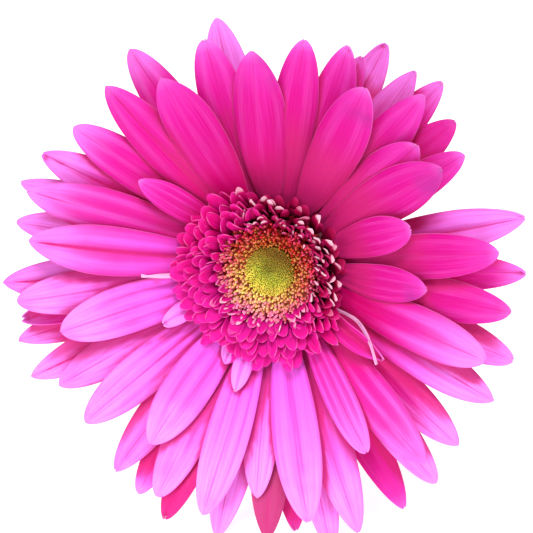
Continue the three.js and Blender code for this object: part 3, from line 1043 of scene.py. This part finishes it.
def makeStem(materials):
    made = bmesh.new()
    rings = stemRings()
    bmesh.ops.create_circle(made, cap_ends=False, radius=1, segments=stemLook["sides"])
    ribs, depth = stemLook["ribs"]
    for vert in made.verts:
        vert.co *= 1 + depth * cos(ribs * atan2(vert.co.y, vert.co.x))
    bmesh.ops.transform(made, matrix=rings[0], verts=made.verts)
    edges = list(made.edges)
    for last, place in zip(rings, rings[1:]):
        verts, edges = extruded(made, edges)
        bmesh.ops.transform(made, matrix=place @ last.inverted(), verts=verts)
    bmesh.ops.contextual_create(made, geom=edges)
    # the cut end
    slant = radians(stemLook["slant"])
    end = toWorld.translation + (Vector(stemLook["route"][-1]) - Vector((0, stemLook["end"], 0))) * mm
    bmesh.ops.bisect_plane(made, geom=made.verts[:] + made.edges[:] + made.faces[:], dist=1e-7, plane_co=end,
                           plane_no=(0, cos(slant), sin(slant)), clear_outer=True)
    rim = [e for e in made.edges if e.is_boundary]
    cut = bmesh.ops.contextual_create(made, geom=rim)["faces"]
    skin = bmesh.ops.inset_region(made, faces=cut, thickness=0.35 * mm, use_even_offset=True)["faces"]
    ring = bmesh.ops.inset_region(made, faces=cut, thickness=1.1 * mm, use_even_offset=True)["faces"]
    pith = bmesh.ops.inset_region(made, faces=cut, thickness=0.5 * mm, depth=-0.25 * mm)["faces"]
    bmesh.ops.recalc_face_normals(made, faces=made.faces)
    for face in made.faces:
        high = (toHead @ face.calc_center_median()).z > stemLook["redFrom"] * mm
        face.material_index = 3 if high else 0
    for face in skin + ring:
        face.material_index = 1
    for face in pith + cut:
        face.material_index = 2
    mesh = meshOf(made, "stemAndCup")
    for face in mesh.polygons:
        face.use_smooth = face.material_index in (0, 3)
    newPiece(mesh, materials, ["stem"])
    return rings


def makeHairs(rings, material):
    rng = random.Random(31)
    made = bmesh.new()
    rings = rings[stemLook["bare"][0]:-stemLook["bare"][1]]
    for _ in range(stemLook["hairs"]):
        at = rng.uniform(0, len(rings) - 1.001)
        place = rings[int(at)].lerp(rings[int(at) + 1], at % 1)
        angle = rng.uniform(0, 2 * pi)
        foot = place @ Vector((cos(angle), sin(angle), 0))
        if foot.z < stemLook["lowestHair"] * mm:
            continue
        away = (foot - place.translation).normalized()
        stray = Vector((rng.uniform(-0.4, 0.4), rng.uniform(-0.5, 0.3), rng.uniform(-0.4, 0.4)))
        away = (away + stray).normalized()
        long = rng.uniform(0.5, 1.1) * mm
        hair = bmesh.ops.create_cone(made, cap_ends=False, segments=3, radius1=0.05 * mm,
                                     radius2=0.008 * mm, depth=long)
        turn = away.to_track_quat("Z", "Y").to_matrix().to_4x4()
        turn.translation = foot + away * long * 0.45
        bmesh.ops.transform(made, matrix=turn, verts=hair["verts"])
    newPiece(meshOf(made, "stemHairs"), [material])


bractLook = {
    "rows": 10,
    "columns": 4,
    "thickness": 0.35,
    # node, line from foot to tip (radius and height on the head's axis), then for each
    # ring of scales: how many, share of the line it starts and ends at, width, lift off the cup
    "sets": [
        ("inner_bracts", [(7.5, -13.1), (10.75, -9.85), (12.9, -7.5), (14.5, -6.6), (17.2, -6.2)],
         [(18, 0.0, 1.0, 3.6, 0.0), (18, 0.0, 0.86, 3.2, 0.25)]),
        ("outer_bracts", [(3.4, -17.0), (4.75, -16), (6.2, -15.1), (8.3, -13.8), (11.5, -10.5), (13.4, -8.7)],
         [(16, 0.1, 1.0, 3.2, 0.3), (15, 0.0, 0.78, 3.0, 0.6), (12, 0.0, 0.5, 2.4, 0.85)]),
    ],
}


def addBract(whole, line, around, width, lift, rng):
    made, layers = leafGrid(bractLook, ("petalTone",))
    turn = Matrix.Rotation(around, 4, "Z")
    value = rng.random()
    bow = rng.uniform(-0.05, 0.05)
    for vert in made.verts:
        u = vert.co.x
        t = 1 - (1 - vert.co.y) ** 1.25
        radius, height = np.polyval(line[0], t), np.polyval(line[1], t)
        slope = atan2(np.polyval(np.polyder(line[1]), t), np.polyval(np.polyder(line[0]), t))
        half = width / 2 * (0.7 + 0.3 * smoothStep(t / 0.35)) * max(0.003, 1 - t ** 2) ** 0.75
        side = u * half
        # outwards is down and away from the cup
        out = lift + 0.22 - side * side / 9 + 0.12 * exp(-((u / 0.3) ** 2)) * (1 - t)
        r = radius + sin(slope) * out
        z = height - cos(slope) * out
        vert.co = toWorld @ (turn @ Vector((r * mm, (side + bow * t * r) * mm, z * mm)))
    note(made.verts, layers, value)
    joinInto(whole, made)


def makeBracts(material):
    rng = random.Random(41)
    for node, line, rings in bractLook["sets"]:
        whole = bmesh.new()
        steps = np.linspace(0, 1, len(line))
        fit = [np.polyfit(steps, [p[i] for p in line], 3) for i in (0, 1)]
        for k, (count, start, stop, width, lift) in enumerate(rings):
            part = np.linspace(start, stop, 9)
            own = [np.polyfit(np.linspace(0, 1, 9), np.polyval(f, part), 3) for f in fit]
            for i in range(count):
                around = 2 * pi * (i + 0.5 * k + rng.uniform(-0.12, 0.12)) / count
                addBract(whole, own, around, width * rng.uniform(0.9, 1.1), lift, rng)
        piece = newPiece(meshOf(whole, node.replace("_b", "B")), [material], [node])
        thicken(piece, bractLook["thickness"])


def bractMaterial(light, dark, tip):
    made, nodes = newMaterial("bractLeaf", (0.12, 0.002), 0.4, Sheen_Weight=0.25, Sheen_Roughness=0.5)
    tone = nodes.attributes("petalTone")[0]
    vein, _, edge, along = nodes.group(veinGroup, 3.0, 0.04, tone)
    patch, grain = nodes.group(mottleGroup, 220.0, 2200.0)
    nodes.base = nodes.mix(nodes.range(patch, 0.35, 0.65), light, dark)
    nodes.coat(nodes.times(vein, 0.35), dark)
    nodes.coat(nodes.times(nodes.range(edge, 0.75, 1.0), 0.5), (0.45, 0.5, 0.22))
    tips = nodes.range(nodes.plus(along, nodes.times(tone, 0.12)), 0.82, 1.0)
    nodes.coat(tips, tip)
    height = nodes.plus(vein, nodes.times(grain, 0.6))
    nodes.finish(nodes.range(grain, 0.3, 0.7, 0.5, 0.7), height, 0.5, 0.00025)
    return made


def stemMaterial(name, low, high, stretch):
    # stretch is the fibre's scale along the stem, against 1 across it
    made, nodes = newMaterial(name, (0.15, 0.003), 0.4, Sheen_Weight=0.2, Sheen_Roughness=0.5)
    longways = nodes.add("Mapping", {"Vector": nodes.add("TexCoord")["Object"], "Scale": (1, stretch, 1)})[0]
    fibre = nodes.noise(longways, 1500.0, 4.0)
    patch, grain = nodes.group(mottleGroup, 60.0, 1800.0)
    nodes.base = nodes.mix(nodes.range(fibre, 0.35, 0.65), low, high)
    ruddy = tuple(c * f for c, f in zip(low, (1.3, 0.75, 0.8)))
    nodes.coat(nodes.range(patch, 0.4, 0.7, 0, 0.45), ruddy)
    height = nodes.plus(fibre, nodes.times(grain, 0.5))
    nodes.finish(nodes.range(fibre, 0.3, 0.7, 0.42, 0.62), height, 0.5, 0.0003)
    return made


stemSkin = stemMaterial("stemSkin", (0.16, 0.27, 0.04), (0.3, 0.42, 0.09), 0.06)
cutFlesh = stemMaterial("cutFlesh", (0.4, 0.5, 0.16), (0.55, 0.62, 0.27), 1.0)
stemPith = stemMaterial("stemPith", (0.6, 0.62, 0.4), (0.75, 0.75, 0.55), 1.0)
hairFinish = stemMaterial("stemHair", (0.55, 0.6, 0.4), (0.7, 0.72, 0.55), 0.3)
bractFinish = bractMaterial((0.2, 0.32, 0.06), (0.09, 0.17, 0.03), (0.2, 0.06, 0.07))
cupRim = stemMaterial("cupRim", (0.22, 0.002, 0.035), (0.34, 0.004, 0.06), 1.0)
ringsOfStem = makeStem([stemSkin, cutFlesh, stemPith, cupRim])
makeHairs(ringsOfStem, hairFinish)
makeBracts(bractFinish)
print("stem and bracts done")

# Camera, light, table.

camera = {
    "azimuth": 11.5,  # degrees to the right of the flower's own direction
    "elevation": 25.0,
    "distance": 0.42,  # metres
    "frameWidth": 0.1119,  # metres that the view spans at the eye
    # mm from the head's centre to the middle of the view: right, up, along the head's axis
    "aim": (-0.74, 0.95, 3.0),
}


def makeCamera():
    turned = Matrix.Rotation(radians(camera["azimuth"]), 3, "Z")
    turned @= Matrix.Rotation(radians(90 - camera["elevation"]), 3, "X")
    aside, above, along = (length * mm for length in camera["aim"])
    aim = toWorld @ Vector((0, 0, along)) + turned @ Vector((aside, above, 0))
    lens = bpy.data.cameras.new("camera")
    lens.sensor_width = 36
    lens.lens = lens.sensor_width * camera["distance"] / camera["frameWidth"]
    lens.clip_start = 0.01
    piece = inScene("camera", lens)
    piece.location = aim + turned @ Vector((0, 0, camera["distance"]))
    piece.rotation_euler = turned.to_euler()
    bpy.context.scene.camera = piece
    return turned


viewTurn = makeCamera()

# direction and aim are right, up and towards the camera, from the head's centre; all in metres
lights = {
    "key": {"kind": "SPOT", "direction": (-0.6, -0.15, 1.0), "distance": 0.36, "aim": (-0.02, -0.05, 0.0),
            "lamp": {"energy": 3.2, "color": (1.0, 0.97, 1.0), "shadow_soft_size": 0.05,
                     "spot_size": radians(24), "spot_blend": 1.0}},
    "fill": {"kind": "AREA", "direction": (0.0, 0.6, 0.9), "distance": 0.9, "aim": (0, 0, 0),
             "lamp": {"energy": 5.0, "color": (0.98, 0.98, 1.0), "shape": "DISK", "size": 0.3}},
}


def addLight(name, look):
    lamp = bpy.data.lights.new(name, look["kind"])
    for label, value in look["lamp"].items():
        setattr(lamp, label, value)
    piece = inScene(name, lamp)
    way = viewTurn @ Vector(look["direction"]).normalized() * look["distance"]
    piece.location = toWorld.translation + way
    piece.rotation_euler = (way - viewTurn @ Vector(look["aim"])).to_track_quat("Z", "Y").to_euler()


for lightName, lightLook in lights.items():
    addLight(lightName, lightLook)

studio = {
    "halfTable": 40.0,  # metres, so that its edge isn't in view
    "sunk": 0.0002,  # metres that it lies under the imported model's floor
    "table": (0.92, 0.92, 0.93, 1),
    "tableGlow": 0.6,
    "sky": (1.0, 0.98, 1.0, 1),
    "skyStrength": 0.57,
}


def makeTable():
    made = bmesh.new()
    bmesh.ops.create_grid(made, x_segments=1, y_segments=1, size=studio["halfTable"])
    bmesh.ops.translate(made, verts=made.verts, vec=(0, 0, -studio["sunk"]))
    mesh = meshOf(made, "table")
    finish = newMaterial("paleTable", (0.0, 0.05), 0.2, Base_Color=studio["table"], Roughness=0.8,
                         Emission_Color=(1, 1, 1, 1), Emission_Strength=studio["tableGlow"])[0]
    mesh.materials.append(finish)
    table = inScene("table", mesh)


def makeSky():
    world = bpy.data.worlds.new("studio")
    world.use_nodes = True
    background = world.node_tree.nodes["Background"].inputs
    background["Color"].default_value = studio["sky"]
    background["Strength"].default_value = studio["skyStrength"]
    bpy.context.scene.world = world


makeTable()
makeSky()
bpy.context.scene.view_settings.view_transform = "Standard"
print("camera, light and table done")
